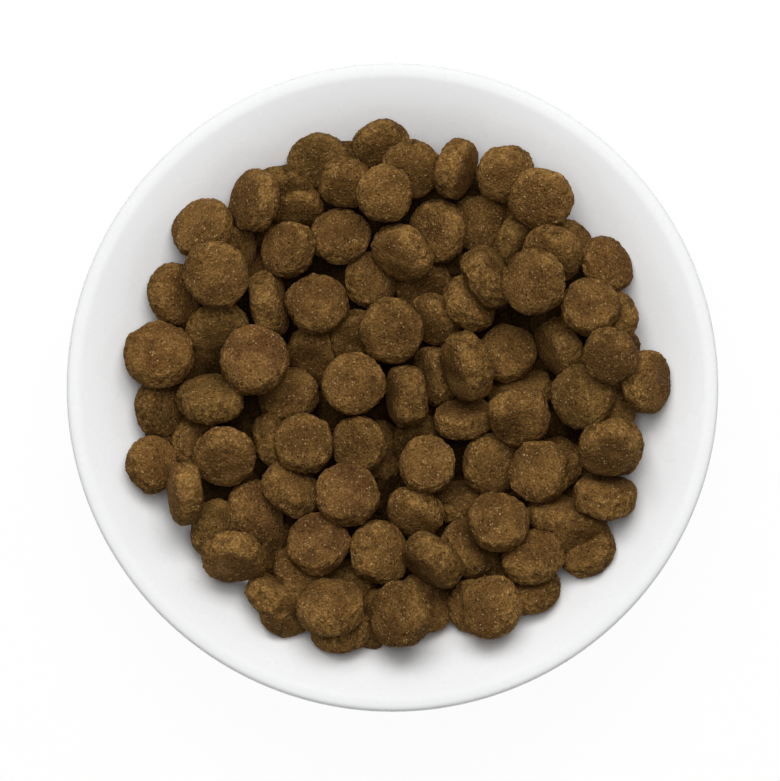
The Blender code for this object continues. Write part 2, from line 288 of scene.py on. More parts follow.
class KibbleSettings(bpy.types.PropertyGroup):
    """Sizes and colours of the kibbles."""

    diameter: FloatProperty(
        name="Diameter",
        description="Width of a usual kibble",
        default=0.0140,
        unit="LENGTH",
    )
    thickness: FloatProperty(
        name="Thickness",
        description="Thickness of a usual kibble",
        default=0.0073,
        unit="LENGTH",
    )
    roundness: FloatProperty(
        name="Roundness",
        description="How full the kibble's edges are",
        default=3.2,
    )
    lump: FloatProperty(
        name="Lumps",
        description="Height of the broad swellings of the surface",
        default=0.00030,
        unit="LENGTH",
    )
    crumb: FloatProperty(
        name="Crumbs",
        description="Height of the crumbs",
        default=0.00017,
        unit="LENGTH",
    )
    grit: FloatProperty(
        name="Grit",
        description="Height of the fine grit",
        default=0.00018,
        unit="LENGTH",
    )
    hollow: FloatProperty(
        name="Hollow",
        description="Depth of the dimple in the middle of a face",
        default=0.00035,
        unit="LENGTH",
    )
    waviness: FloatProperty(
        name="Waviness",
        description="How far the outline departs from round",
        default=0.009,
    )
    fineness: IntProperty(
        name="Fineness",
        description="Subdivisions of a kibble's mesh",
        default=5,
    )
    deep_fineness: IntProperty(
        name="Deep fineness",
        description="Subdivisions of the mesh of a kibble deep in the heap",
        default=4,
    )
    usual: FloatVectorProperty(
        name="Usual bake",
        description="Brown of most kibbles",
        default=(0.136, 0.068, 0.0208),
        subtype="COLOR",
    )
    orange: FloatVectorProperty(
        name="Orange bake",
        description="Brown of the kibbles that are more orange",
        default=(0.142, 0.068, 0.0205),
        subtype="COLOR",
    )
    olive: FloatVectorProperty(
        name="Olive bake",
        description="Brown of the kibbles that are more yellow",
        default=(0.136, 0.073, 0.0215),
        subtype="COLOR",
    )
    red: FloatVectorProperty(
        name="Red bake",
        description="Brown of the kibbles that are more red",
        default=(0.127, 0.060, 0.0205),
        subtype="COLOR",
    )
    # Golden brown of the edges: partly their own crust and partly painted light that the edges catch
    crust_and_edge_light: FloatVectorProperty(
        name="Crust",
        description="Golden brown of the worn edges",
        default=(0.275, 0.150, 0.043),
        subtype="COLOR",
    )
    bran: FloatVectorProperty(
        name="Bran",
        description="Tan of the light grains",
        default=(0.47, 0.30, 0.13),
        subtype="COLOR",
    )


class HeapSettings(bpy.types.PropertyGroup):
    """Shape of the heap under the kibbles that show."""

    fill_drop: FloatProperty(
        name="Fill drop",
        description="How far the edge of the bed lies below the rim",
        default=0.0044,
        unit="LENGTH",
    )
    dip: FloatProperty(
        name="Dip",
        description="How far the middle of the bed lies below its edge",
        default=0.0140,
        unit="LENGTH",
    )
    sunk: FloatProperty(
        name="Sunk",
        description="How far the deepest kibbles lie below the top of the bed",
        default=0.0022,
        unit="LENGTH",
    )
    reach: FloatProperty(
        name="Reach",
        description="Radius of the layer of deepest kibbles",
        default=0.049,
        unit="LENGTH",
    )
    # Painted shade: how much darker the colour of the deepest kibbles is made, for the little light
    # that reaches them
    shade: FloatProperty(
        name="Shade",
        description="How much darker the deepest kibbles are",
        default=0.80,
        subtype="FACTOR",
    )
    give: FloatProperty(
        name="Give",
        description="How far a deep kibble may press into the bowl's inside",
        default=0.0020,
        unit="LENGTH",
    )
    count: IntProperty(
        name="Deepest kibbles",
        description="Number of kibbles in the deepest layer",
        default=96,
    )


class StageSettings(bpy.types.PropertyGroup):
    """Camera, floor and light."""

    elevation: FloatProperty(
        name="Elevation",
        description="Angle of the camera above the table",
        default=math.radians(84.0),
        unit="ROTATION",
    )
    lens: FloatProperty(
        name="Lens",
        description="Focal length in millimetres",
        default=300.0,
    )
    floor_width: FloatProperty(
        name="Floor width",
        description="Width of the square floor",
        default=6.0,
        unit="LENGTH",
    )
    floor: FloatVectorProperty(
        name="Floor",
        description="Colour of the floor",
        default=(0.90, 0.90, 0.90),
        subtype="COLOR",
    )
    floor_glow: FloatProperty(
        name="Floor whiteness",
        description="Share of the floor's look that is plain white to the camera",
        default=0.96,
        subtype="FACTOR",
    )
    sky: FloatProperty(
        name="Sky",
        description="Strength of the even light from all round",
        default=0.03,
    )
    sheen: FloatProperty(
        name="Sheen",
        description="How bright the room looks in the glaze",
        default=0.85,
    )
    top_lamp: FloatProperty(
        name="Top lamp",
        description="Power of the soft lamp overhead",
        default=15.4,
    )
    top_size: FloatVectorProperty(
        name="Top lamp size",
        description="Width and depth of the soft lamp overhead",
        default=(1.0, 1.0),
        size=2,
        unit="LENGTH",
    )
    top_place: FloatVectorProperty(
        name="Top lamp place",
        description="Where the middle of the soft lamp overhead hangs",
        default=(-0.03, 0.05, 1.9),
        subtype="TRANSLATION",
    )
    back_lamp: FloatProperty(
        name="Back lamp",
        description="Power of the wide soft lamp above and behind",
        default=18.6,
    )
    back_size: FloatVectorProperty(
        name="Back lamp size",
        description="Width and depth of the wide soft lamp above and behind",
        default=(1.3, 0.7),
        size=2,
        unit="LENGTH",
    )
    back_place: FloatVectorProperty(
        name="Back lamp place",
        description="Where the middle of the wide soft lamp hangs",
        default=(0.0, 0.735, 1.42),
        subtype="TRANSLATION",
    )


# Node helpers


def add_node(tree, kind, sockets=None, **options):
    """Adds a node, sets its options, and fills sockets with values or links."""
    made = tree.nodes.new(kind)
    for name, value in options.items():
        setattr(made, name, value)
    for name, value in (sockets or {}).items():
        if isinstance(value, bpy.types.NodeSocket):
            tree.links.new(value, made.inputs[name])
        else:
            made.inputs[name].default_value = value
    return made


def maths(tree, how, first, second=0.0):
    """One sum on two values."""
    return add_node(tree, "ShaderNodeMath", {0: first, 1: second}, operation=how).outputs[0]


def blend(tree, share, first, second):
    """Two colours mixed; colours are sockets or red, green, blue and alpha."""
    sockets = {0: share, 6: first, 7: second}
    return add_node(tree, "ShaderNodeMix", sockets, data_type="RGBA").outputs[2]


def scaled(tree, colour, factor):
    """A colour made lighter or darker."""
    sockets = {0: colour, "Scale": factor}
    return add_node(tree, "ShaderNodeVectorMath", sockets, operation="SCALE").outputs[0]


def fade(tree, value, low, high, to_low=0.0, to_high=1.0):
    """A value taken smoothly from one span to another."""
    sockets = {
        "Value": value,
        "From Min": low,
        "From Max": high,
        "To Min": to_low,
        "To Max": to_high,
    }
    made = add_node(tree, "ShaderNodeMapRange", sockets, interpolation_type="SMOOTHSTEP")
    return made.outputs["Result"]


def new_group(name, inputs, outputs):
    """An empty node group with these sockets: name to (kind, default)."""
    group = bpy.data.node_groups.new(name, "ShaderNodeTree")
    for socket, (kind, default) in inputs.items():
        made = group.interface.new_socket(socket, in_out="INPUT", socket_type=kind)
        made.default_value = default
    for socket, kind in outputs.items():
        group.interface.new_socket(socket, in_out="OUTPUT", socket_type=kind)
    entry = group.nodes.new("NodeGroupInput")
    ending = group.nodes.new("NodeGroupOutput")
    return group, entry.outputs, ending.inputs


def use_group(tree, name, **values):
    """Places a node group; its inputs are given in lower case words joined by _."""
    made = tree.nodes.new("ShaderNodeGroup")
    made.node_tree = bpy.data.node_groups[name]
    for key, value in values.items():
        socket = made.inputs[key.replace("_", " ").capitalize()]
        if isinstance(value, bpy.types.NodeSocket):
            tree.links.new(value, socket)
        else:
            socket.default_value = value
    return made.outputs


NUMBER = "NodeSocketFloat"
COLOUR = "NodeSocketColor"


def make_mottle_group():
    """Soft cloudy patches as a mask."""
    inputs = {
        "Scale": (NUMBER, 100.0),
        "Detail": (NUMBER, 2.0),
        "Low": (NUMBER, 0.35),
        "High": (NUMBER, 0.65),
    }
    group, given, result = new_group("mottle", inputs, {"Mask": NUMBER})
    place = add_node(group, "ShaderNodeTexCoord").outputs["Object"]
    sockets = {"Vector": place, "Scale": given["Scale"], "Detail": given["Detail"]}
    cloud = add_node(group, "ShaderNodeTexNoise", sockets).outputs[0]
    mask = fade(group, cloud, given["Low"], given["High"])
    group.links.new(mask, result["Mask"])


def make_speckle_group():
    """Small round grains as a mask: their scale, their size and the share of places that has one."""
    inputs = {
        "Scale": (NUMBER, 800.0),
        "Size": (NUMBER, 0.3),
        "Share": (NUMBER, 0.3),
    }
    group, given, result = new_group("speckle", inputs, {"Mask": NUMBER})
    place = add_node(group, "ShaderNodeTexCoord").outputs["Object"]
    wobble = add_node(group, "ShaderNodeTexNoise", {"Vector": place, "Scale": 1500.0})
    shifted = add_node(
        group,
        "ShaderNodeVectorMath",
        {0: wobble.outputs["Color"], 1: (0.0006, 0.0006, 0.0006), 2: place},
        operation="MULTIPLY_ADD",
    )
    sockets = {"Vector": shifted.outputs[0], "Scale": given["Scale"]}
    cells = add_node(group, "ShaderNodeTexVoronoi", sockets)
    core = maths(group, "MULTIPLY", given["Size"], 0.5)
    near = fade(group, cells.outputs["Distance"], core, given["Size"], 1, 0)
    chance = add_node(group, "ShaderNodeSeparateColor", {0: cells.outputs["Color"]}).outputs[0]
    chosen = maths(group, "LESS_THAN", chance, given["Share"])
    group.links.new(maths(group, "MULTIPLY", near, chosen), result["Mask"])


def make_crumb_group(crust_and_edge_light, bran):
    """Colour, roughness and height of a baked, crumbly surface, with painted light and shade on its
    crumbs, edges and whole kibbles.
    """
    inputs = {
        "Bake": (COLOUR, (0.16, 0.09, 0.03, 1)),
        "Rim": (NUMBER, 0.0),
        "Relief": (NUMBER, 0.0),
        "Tone": (NUMBER, 0.0),
    }
    outputs = {"Colour": COLOUR, "Roughness": NUMBER, "Height": NUMBER}
    group, given, result = new_group("baked crumb", inputs, outputs)
    patches = use_group(group, "mottle", scale=170.0, detail=3.0, low=0.36, high=0.66)["Mask"]
    grain = use_group(group, "mottle", scale=2300.0, detail=3.0, low=0.30, high=0.70)["Mask"]
    fluff = use_group(group, "mottle", scale=1000.0, detail=4.0, low=0.36, high=0.64)["Mask"]
    grains = use_group(group, "speckle", scale=1900.0, size=0.46, share=0.24)["Mask"]
    pits = use_group(group, "speckle", scale=1500.0, size=0.42, share=0.20)["Mask"]
    place = add_node(group, "ShaderNodeTexCoord").outputs["Object"]
    sockets = {"Vector": place, "Scale": 1700.0, "Detail": 2.0, "Distortion": 1.2}
    strands = add_node(group, "ShaderNodeTexNoise", sockets, noise_type="RIDGED_MULTIFRACTAL")
    strands = fade(group, strands.outputs[0], 0.60, 1.30)
    # Golden edges: the crumbly edges' own golden crust, made stronger all round as painted light that
    # the edges catch; the golden patches and fibres are the crumb's own colour
    golden = maths(group, "MULTIPLY", maths(group, "MULTIPLY", given["Rim"], fluff), 0.60)
    golden = maths(group, "ADD", golden, maths(group, "MULTIPLY", patches, 0.26))
    tangled = maths(group, "MULTIPLY", given["Rim"], 0.35)
    tangled = maths(group, "ADD", tangled, fade(group, patches, 0.0, 1.0, 0.14, 0.50))
    fibres = maths(group, "MULTIPLY", strands, tangled)
    golden = maths(group, "ADD", golden, fibres)
    colour = blend(group, golden, given["Bake"], (*crust_and_edge_light, 1))
    shade = fade(group, grain, 0.0, 1.0, 0.66, 1.28)
    shade = maths(group, "MULTIPLY", shade, fade(group, patches, 0.0, 1.0, 0.86, 1.12))
    # Painted light and shade on the crumbs: the colour is lighter where the surface stands out and
    # darker in the hollows, and darker still in the sunk pits
    lift = fade(group, given["Relief"], -1.0, 1.0, 0.58, 1.40)
    shade = maths(group, "MULTIPLY", shade, lift)
    shade = maths(group, "MULTIPLY", shade, fade(group, pits, 0.0, 1.0, 1.0, 0.50))
    flecks = maths(group, "MULTIPLY", grains, fade(group, fluff, 0.0, 1.0, 0.20, 0.90))
    colour = blend(group, flecks, scaled(group, colour, shade), (*bran, 1))
    # Each kibble made paler or darker by its tone: its own chance tone plus its painted light and
    # shade
    colour = scaled(group, colour, maths(group, "ADD", given["Tone"], 1.0))
    height = maths(group, "MULTIPLY", grain, 0.8)
    height = maths(group, "ADD", height, maths(group, "MULTIPLY", fluff, 0.6))
    height = maths(group, "ADD", height, maths(group, "MULTIPLY", strands, 0.4))
    height = maths(group, "ADD", height, maths(group, "MULTIPLY", grains, 0.3))
    height = maths(group, "SUBTRACT", height, maths(group, "MULTIPLY", pits, 0.9))
    group.links.new(colour, result["Colour"])
    group.links.new(fade(group, grain, 0.0, 1.0, 0.95, 0.80), result["Roughness"])
    group.links.new(height, result["Height"])


# Materials


def new_material(name):
    """An empty node material with its surface shader."""
    material = bpy.data.materials.new(name)
    material.use_nodes = True
    return material, material.node_tree, material.node_tree.nodes["Principled BSDF"]


def make_crumb_material(bake, colour):
    """Baked crumb in one brown."""
    material, tree, shader = new_material(f"{bake} crumb")
    read = {}
    for name in ("rim", "relief", "tone"):
        read[name] = add_node(tree, "ShaderNodeAttribute", attribute_name=name).outputs["Fac"]
    crumb = use_group(tree, "baked crumb", bake=(*colour, 1), **read)
    tree.links.new(crumb["Colour"], shader.inputs["Base Color"])
    tree.links.new(crumb["Roughness"], shader.inputs["Roughness"])
    sockets = {"Height": crumb["Height"], "Distance": 0.00017, "Strength": 1.0}
    bump = add_node(tree, "ShaderNodeBump", sockets)
    tree.links.new(bump.outputs[0], shader.inputs["Normal"])
    shader.inputs["Specular IOR Level"].default_value = 0.06
    material.diffuse_color = (*colour, 1)
    return material


def make_glaze_material(settings):
    """White glaze, and bare clay where the foot ring stands."""
    material, tree, shader = new_material("white glaze")
    place = add_node(tree, "ShaderNodeTexCoord").outputs["Object"]
    height = add_node(tree, "ShaderNodeSeparateXYZ", {0: place}).outputs["Z"]
    ragged = use_group(tree, "mottle", scale=260.0, detail=3.0, low=0.2, high=0.8)["Mask"]
    ragged = maths(tree, "MULTIPLY", ragged, settings.bare_height)
    edge = maths(tree, "ADD", height, ragged)
    bare = fade(tree, edge, settings.bare_height, settings.bare_height * 1.6, 1, 0)
    cloud = use_group(tree, "mottle", scale=34.0, detail=2.0, low=0.3, high=0.7)["Mask"]
    deep = [part * 0.985 for part in settings.glaze]
    glaze = blend(tree, cloud, (*settings.glaze, 1), (*deep, 1))
    specks = use_group(tree, "speckle", scale=700.0, size=0.3, share=0.12)["Mask"]
    dark = [part * 0.55 for part in settings.biscuit]
    clay = blend(tree, specks, (*settings.biscuit, 1), (*dark, 1))
    tree.links.new(blend(tree, bare, glaze, clay), shader.inputs["Base Color"])
    wiped = use_group(tree, "mottle", scale=120.0, detail=4.0, low=0.3, high=0.7)["Mask"]
    rough = fade(tree, wiped, 0.0, 1.0, settings.gloss, settings.gloss + 0.07)
    rough = maths(tree, "ADD", rough, maths(tree, "MULTIPLY", bare, 0.6))
    tree.links.new(rough, shader.inputs["Roughness"])
    ripple = use_group(tree, "mottle", scale=210.0, detail=1.0, low=0.1, high=0.9)["Mask"]
    grit = maths(tree, "MULTIPLY", maths(tree, "MULTIPLY", specks, bare), 2.0)
    sockets = {"Height": maths(tree, "ADD", ripple, grit), "Distance": 0.00001, "Strength": 0.5}
    bump = add_node(tree, "ShaderNodeBump", sockets)
    tree.links.new(bump.outputs[0], shader.inputs["Normal"])
    shader.inputs["IOR"].default_value = 1.5
    material.diffuse_color = (*settings.glaze, 1)
    return material


def make_floor_material(settings):
    """A pale floor that looks white to the camera, and keeps the bowl's shadow."""
    material, tree, shader = new_material("pale floor")
    cloud = use_group(tree, "mottle", scale=9.0, detail=3.0, low=0.3, high=0.7)["Mask"]
    dull = [part * 0.97 for part in settings.floor]
    colour = blend(tree, cloud, (*settings.floor, 1), (*dull, 1))
    tree.links.new(colour, shader.inputs["Base Color"])
    shader.inputs["Roughness"].default_value = 0.7
    path = add_node(tree, "ShaderNodeLightPath").outputs
    seen = maths(tree, "MAXIMUM", path["Is Camera Ray"], path["Is Glossy Ray"])
    seen = maths(tree, "MAXIMUM", seen, path["Is Transmission Ray"])
    share = maths(tree, "MULTIPLY", seen, settings.floor_glow)
    white = add_node(tree, "ShaderNodeEmission", {"Color": (1, 1, 1, 1), "Strength": 1.0})
    sockets = {0: share, 1: shader.outputs[0], 2: white.outputs[0]}
    mixed = add_node(tree, "ShaderNodeMixShader", sockets)
    tree.links.new(mixed.outputs[0], tree.nodes["Material Output"].inputs["Surface"])
    return material


def make_world(strength, sheen):
    """A faint even light, plain white past the floor, and a bright room in the glaze."""
    world = bpy.data.worlds.new("studio")
    world.use_nodes = True
    tree = world.node_tree
    path = add_node(tree, "ShaderNodeLightPath").outputs
    seen = maths(tree, "MAXIMUM", path["Is Camera Ray"], path["Is Transmission Ray"])
    power = maths(tree, "ADD", strength, maths(tree, "MULTIPLY", seen, 1.0 - strength))
    power = maths(tree, "MAXIMUM", power, maths(tree, "MULTIPLY", path["Is Glossy Ray"], sheen))
    backdrop = tree.nodes["Background"]
    backdrop.inputs["Color"].default_value = (1, 1, 1, 1)
    tree.links.new(power, backdrop.inputs["Strength"])
    return world


# Bowl


def inside_curve(settings):
    """Radii and heights of the bowl's inside, from the middle of its floor up to the lip."""
    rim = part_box("bowl")[1]
    rounding = settings.wall / 2
    slope = settings.rim_slope
    flat = settings.floor_diameter / 2
    start = np.array([flat, settings.foot_height + settings.wall])
    lip_middle = np.array([rim.x - rounding, rim.z - rounding])
    end = lip_middle + rounding * np.array([-math.sin(slope), math.cos(slope)])
    reach = end[0] - flat
    along_floor = start + settings.floor_fullness * reach * np.array([1, 0])
    along_rim = end - settings.rim_fullness * reach * np.array([math.cos(slope), math.sin(slope)])
    steps = np.linspace(0, 1, settings.curve_steps + 1)
    up = np.insert(steps, -1, 1 - settings.lip_crease)[:, None]
    down = 1 - up
    lower = down**3 * start + 3 * down**2 * up * along_floor
    curve = lower + 3 * down * up**2 * along_rim + up**3 * end
    radii, heights = curve.T
    return np.append(0, radii), np.append(start[1], heights)


def offset_curve(radii, heights, distance):
    """The same curve moved outwards along its normals."""
    run = np.gradient(radii)
    rise = np.gradient(heights)
    run[0], rise[0] = 1, 0
    length = np.hypot(run, rise)
    return radii + distance * rise / length, heights - distance * run / length


def arc(middle, radius, start, end, steps):
    """Points on an arc in the profile, with its angles in degrees."""
    turns = np.radians(np.linspace(start, end, steps + 1))
    return [(middle[0] + radius * math.cos(t), middle[1] + radius * math.sin(t)) for t in turns]


def lip_arc(settings, start, end):
    """Points on the lip's rounding, with its angles in degrees."""
    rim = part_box("bowl")[1]
    radius = settings.wall / 2
    points = []
    for turn in np.radians(np.linspace(start, end, settings.lip_steps + 1)):
        out, up = math.cos(turn), math.sin(turn)
        if up > 0:
            out, up = out**settings.lip_flatness, up**settings.lip_flatness
        points.append((rim.x - radius + radius * out, rim.z - radius + radius * up))
    return points


def bowl_profile(settings):
    """Down the middle, out over the foot, up the outside, round the lip and down the inside."""
    radii, heights = inside_curve(settings)
    outer_radii, outer_heights = offset_curve(radii, heights, settings.wall)
    foot = settings.foot_diameter / 2
    edge = settings.foot_edge
    inner = foot - settings.foot_width
    foot_top = float(np.interp(foot, outer_radii, outer_heights))
    points = [(0, settings.foot_height), (inner - edge, settings.foot_height)]
    points += arc((inner - edge, settings.foot_height - edge), edge, 90, 0, 4)
    points += arc((inner + edge, edge), edge, 180, 270, 5)
    points += arc((foot - edge, edge), edge, 270, 360, 5)
    beside_foot = foot + settings.foot_width / 2
    step_out = float(np.interp(beside_foot, outer_radii, outer_heights))
    middle = ((2 * foot + beside_foot) / 3, (2 * foot_top + step_out) / 3)
    points += [(foot, foot_top * 0.8), middle]
    for radius, height in list(zip(outer_radii, outer_heights))[:-1]:
        if radius > beside_foot:
            points.append((radius, height))
    points += lip_arc(settings, math.degrees(settings.rim_slope) - 90, 0)
    points += lip_arc(settings, 0, 90)[1:]
    return points + list(zip(radii[::-1], heights[::-1]))


def turn_profile(bm, points, steps):
    """Turns a list of (radius, height) points once round the Z axis."""
    rail = [bm.verts.new((radius, 0, height)) for radius, height in points]
    edges = [bm.edges.new(pair) for pair in zip(rail, rail[1:])]
    bmesh.ops.spin(
        bm,
        geom=rail + edges,
        cent=(0, 0, 0),
        axis=(0, 0, 1),
        angle=2 * math.pi,
        steps=steps,
        use_merge=True,
    )
    bmesh.ops.remove_doubles(bm, verts=bm.verts, dist=MERGE_DISTANCE)
    bmesh.ops.recalc_face_normals(bm, faces=bm.faces)


def finish_piece(name, bm, materials):
    """Makes the bmesh a piece that rides on the frame."""
    mesh = bpy.data.meshes.new(name)
    bm.to_mesh(mesh)
    bm.free()
    piece = bpy.data.objects.new(name, mesh)
    bpy.context.scene.collection.objects.link(piece)
    for material in materials:
        mesh.materials.append(material)
    mesh.shade_smooth()
    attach(piece, "root")
    return piece


# Kibbles


Place = namedtuple("Place", "middle turn half")


def crumb_materials():
    return [bpy.data.materials[f"{bake} crumb"] for bake in BAKES]


def new_kibble_mesh():
    """An empty bmesh with the layers that the crumb reads."""
    bm = bmesh.new()
    for name in ("rim", "relief", "tone"):
        bm.verts.layers.float.new(name)
    return bm


def crumb_relief(settings, spot, start, dents):
    """How far the surface stands out at one spot of a kibble: lumps, crumbs and grit."""
    lumps = noise.noise(spot * LUMP_SCALE + start) * settings.lump * dents
    crumbs = noise.noise(spot * CRUMB_SCALE + start) * settings.crumb
    grit = noise.noise(spot * GRIT_SCALE - start) * settings.grit
    return lumps, crumbs + grit


def add_kibble(bm, settings, place, bake, dice, fineness, dents=1.0, pale=0.0):
    """Adds one baked kibble: a rounded disc with a wavy outline, dimples, lumps and crumbs."""
    rim, relief, tone = (bm.verts.layers.float[name] for name in ("rim", "relief", "tone"))
    ball = bmesh.ops.create_icosphere(bm, subdivisions=fineness, radius=1)
    power = 2 / settings.roundness
    waves = [(count, dice.uniform(0, 2 * math.pi)) for count in (2, 3, 4, 5, 7)]
    hollows = [settings.hollow * dice.uniform(-0.5, 1.0) for _ in range(2)]
    start = Vector([dice.uniform(-90, 90) for _ in range(3)])
    # Its tone: its own chance tone plus the painted light and shade it is given
    shade = dice.uniform(-CHANCE_SHADE, CHANCE_SHADE) + pale
    most = settings.crumb + settings.grit
    for vert in ball["verts"]:
        x, y, z = vert.co
        out = min(1, math.hypot(x, y))
        turn = math.atan2(y, x)
        uneven = 1 + settings.waviness * sum(math.cos(n * turn + at) for n, at in waves)
        radius = out**power * uneven
        height = math.copysign(abs(z) ** power, z) * place.half[2]
        height -= math.copysign(hollows[z > 0] * (1 - out**2) ** 2, z)
        across = place.half[0] * radius * math.cos(turn)
        along = place.half[1] * radius * math.sin(turn)
        spot = Vector((across, along, height))
        outward = Vector((x / place.half[0], y / place.half[1], z / place.half[2])).normalized()
        lumps, crumbs = crumb_relief(settings, spot, start, dents)
        edge = max(0.0, (out - EDGE_START) / (1 - EDGE_START))
        crumbs *= 0.75 + 0.8 * edge
        vert.co = place.middle + place.turn @ (spot + outward * (lumps + crumbs))
        vert[rim] = edge
        vert[relief] = crumbs / most
        vert[tone] = shade
    kind = BAKES.index(bake)
    for face in {face for vert in ball["verts"] for face in vert.link_faces}:
        face.material_index = kind


def place_of_node(node):
    """Where a CAD kibble lies: its middle, its turn and its half sizes across, along and up."""
    bm = bmesh.new()
    bm.from_mesh(node.data)
    bmesh.ops.remove_doubles(bm, verts=bm.verts, dist=MERGE_DISTANCE)
    points = np.array([vert.co for vert in bm.verts])
    bm.free()
    middle = points.mean(axis=0)
    axes = np.linalg.svd(points - middle)[2]
    axes[2] *= np.linalg.det(axes)
    spans = (points - middle) @ axes.T
    low, high = spans.min(axis=0), spans.max(axis=0)
    middle = middle + (low + high) / 2 @ axes
    return Place(Vector(middle), Matrix(axes.T), (high - low) / 2)


def picture_scale():
    """Metres for each pixel of the photograph."""
    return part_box("bowl")[1].x / RIM_REACH


def place_in_plan(seen):
    """Where a kibble of the photograph lies in the bowl, as seen from above."""
    scale = picture_scale()
    return (seen.x - RIM_X) * scale, (HEAP_Y - seen.y) * scale


def half_sizes(settings, seen):
    """Half of a kibble's width and thickness, from its widest width in the photograph."""
    across = seen.wide * picture_scale() / 2
    return np.array([across, across, across * settings.thickness / settings.diameter])


def leaning(settings, seen, way):
    """A kibble's turn, from how narrow it looks, for one way of its lean."""
    flat = settings.thickness / settings.diameter
    upright = ((seen.narrow / seen.wide) ** 2 - flat**2) / (1 - flat**2)
    lean = way * math.acos(math.sqrt(min(1, max(LEAST_FACE, upright))))
    return Matrix.Rotation(math.radians(seen.turn), 3, "Z") @ Matrix.Rotation(lean, 3, "X")


def painted_depth_shade(heap, place):
    """How much darker a kibble is painted by how deep it lies: painted shade where little light
    reaches.
    """
    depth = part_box("bowl")[1].z - place.middle.z
    return heap.shade * min(1, max(0, depth / heap.dip))


def lift_off_wall(place, radii, heights):
    """How far a kibble has to rise for its edge to clear the bowl's inside."""
    lift = 0.0
    for turn in np.linspace(0, 2 * math.pi, 24, endpoint=False):
        spoke = Vector((place.half[0] * math.cos(turn), place.half[1] * math.sin(turn), 0))
        spot = place.middle + place.turn @ spoke
        wall = float(np.interp(math.hypot(spot.x, spot.y), radii, heights))
        lift = max(lift, wall - spot.z)
    return lift


class BedTop:
    """Heights of the CAD bed's top on a square grid."""

    def __init__(self, step=0.0005, reach=0.062):
        bm = bmesh.new()
        bm.from_mesh(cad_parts["kibble_bed"].data)
        tree = BVHTree.FromBMesh(bm)
        bm.free()
        self.step = step
        self.middle = math.ceil(reach / step)
        axis = np.arange(-self.middle, self.middle + 1) * step
        self.heights = np.zeros((len(axis), len(axis)))
        down = Vector((0, 0, -1))
        for row, x in enumerate(axis):
            for column, y in enumerate(axis):
                hit = tree.ray_cast(Vector((x, y, 1)), down)[0]
                self.heights[row, column] = hit.z if hit else 0

    def cells(self, x, y):
        """The grid's rows and columns at these places."""
        rows = np.round(np.asarray(x) / self.step).astype(int) + self.middle
        columns = np.round(np.asarray(y) / self.step).astype(int) + self.middle
        last = len(self.heights) - 1
        return np.clip(rows, 0, last), np.clip(columns, 0, last)

    def at(self, x, y):
        return self.heights[self.cells(x, y)]


def top_of_disc(turn, half, x, y):
    """Height of a leaning disc's upper side over points round its middle."""
    a = np.array(turn)
    m = a @ np.diag(1 / np.asarray(half) ** 2) @ a.T
    tilt = m[0, 2] * x + m[1, 2] * y
    rest = m[0, 0] * x**2 + 2 * m[0, 1] * x * y + m[1, 1] * y**2 - 1
    return (-tilt + np.sqrt(np.maximum(tilt**2 - m[2, 2] * rest, 0))) / m[2, 2]


def find_in_bed(settings, top, seen, slide=0.0015, sample=0.0045):
    """Where a kibble of the bed lies: the place and lean whose top best follows the solid bed."""
    half = half_sizes(settings, seen)
    x, y = place_in_plan(seen)
    spots = np.linspace(-sample, sample, 9)
    px, py = (grid.ravel() for grid in np.meshgrid(spots, spots))
    inside = np.hypot(px, py) < sample
    px, py = px[inside], py[inside]
    shifts = np.arange(-slide, slide + top.step / 2, top.step)
    best = None
    for way in (1, -1):
        turn = leaning(settings, seen, way)
        rise = top_of_disc(turn, half, px, py)
        for across in shifts:
            for along in shifts:
                gap = top.at(x + across + px, y + along + py) - rise
                height = float(np.median(gap))
                miss = float(np.minimum(np.abs(gap - height), 0.001).mean())
                if best is None or miss < best[0]:
                    best = (miss, x + across, y + along, height, turn)
    _, x, y, height, turn = best
    return Place(Vector((x, y, height)), turn, half)


# Operators


class PETBOWL_OT_finishes(bpy.types.Operator):
    """Make the node groups and materials"""

    bl_idname = "petbowl.finishes"
    bl_label = "Mix the finishes"

    def execute(self, context):
        kibble = context.scene.petbowl_kibble
        make_mottle_group()
        make_speckle_group()
        make_crumb_group(kibble.crust_and_edge_light, kibble.bran)
        for bake in BAKES:
            make_crumb_material(bake, getattr(kibble, bake))
        make_glaze_material(context.scene.petbowl_bowl)
        return {"FINISHED"}


class PETBOWL_OT_bowl(bpy.types.Operator):
    """Turn the glazed bowl"""

    bl_idname = "petbowl.bowl"
    bl_label = "Turn the bowl"

    def execute(self, context):
        settings = context.scene.petbowl_bowl
        bm = bmesh.new()
        turn_profile(bm, bowl_profile(settings), settings.steps)
        piece = finish_piece("glazed_bowl", bm, [bpy.data.materials["white glaze"]])
        piece.data.set_sharp_from_angle(angle=math.radians(40))
        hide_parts("bowl")
        return {"FINISHED"}


class PETBOWL_OT_loose_kibbles(bpy.types.Operator):
    """Model each loose kibble where its solid lies"""

    bl_idname = "petbowl.loose_kibbles"
    bl_label = "Bake the loose kibbles"

    def execute(self, context):
        settings = context.scene.petbowl_kibble
        nodes = sorted(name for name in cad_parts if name.startswith("kibble_"))
        nodes.remove("kibble_bed")
        if not nodes:
            raise RuntimeError("the frame has no loose kibbles")
        for name in nodes:
            number = int(name.split("_")[1])
            dice = random.Random(SEED + number)
            bm = new_kibble_mesh()
            place = place_of_node(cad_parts[name])
            bake = LOOSE_BAKES.get(number, "usual")
            dents = DENT_DEPTH if number in DENTED else 1.0
            # Painted light and shade for this kibble
            pale = LOOSE_PAINTED_SHADING.get(number, 0.0)
            add_kibble(bm, settings, place, bake, dice, settings.fineness, dents, pale)
            piece = finish_piece(f"baked_{name}", bm, crumb_materials())
            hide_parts(name)
        return {"FINISHED"}


